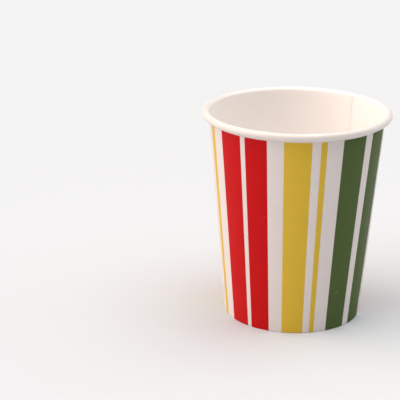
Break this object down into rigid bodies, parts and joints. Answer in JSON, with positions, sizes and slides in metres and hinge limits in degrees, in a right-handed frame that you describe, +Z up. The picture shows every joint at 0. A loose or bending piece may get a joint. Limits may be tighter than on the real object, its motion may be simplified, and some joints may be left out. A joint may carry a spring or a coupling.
{
  "type": "paper cup",
  "caption": "Tapered paper cup with bright stripes, a rolled rim, a lapped side seam and a recessed base held by a folded hem, for a cold drink.",
  "frame": {"origin": "centre of the foot, on the surface that the cup stands on", "axes": "+Z up along the cup's axis towards the mouth; -Y is the side that the picture shows, and the side seam is behind it at 56 degrees from +X towards +Y"},
  "size_m": [0.078, 0.078, 0.0875],
  "materials": {
    "printed_board": "satin",
    "plain_board": "satin"
  },
  "bodies": {
    "root": {"sidewall": "printed_board", "base": "plain_board"}
  },
  "joints": []
}
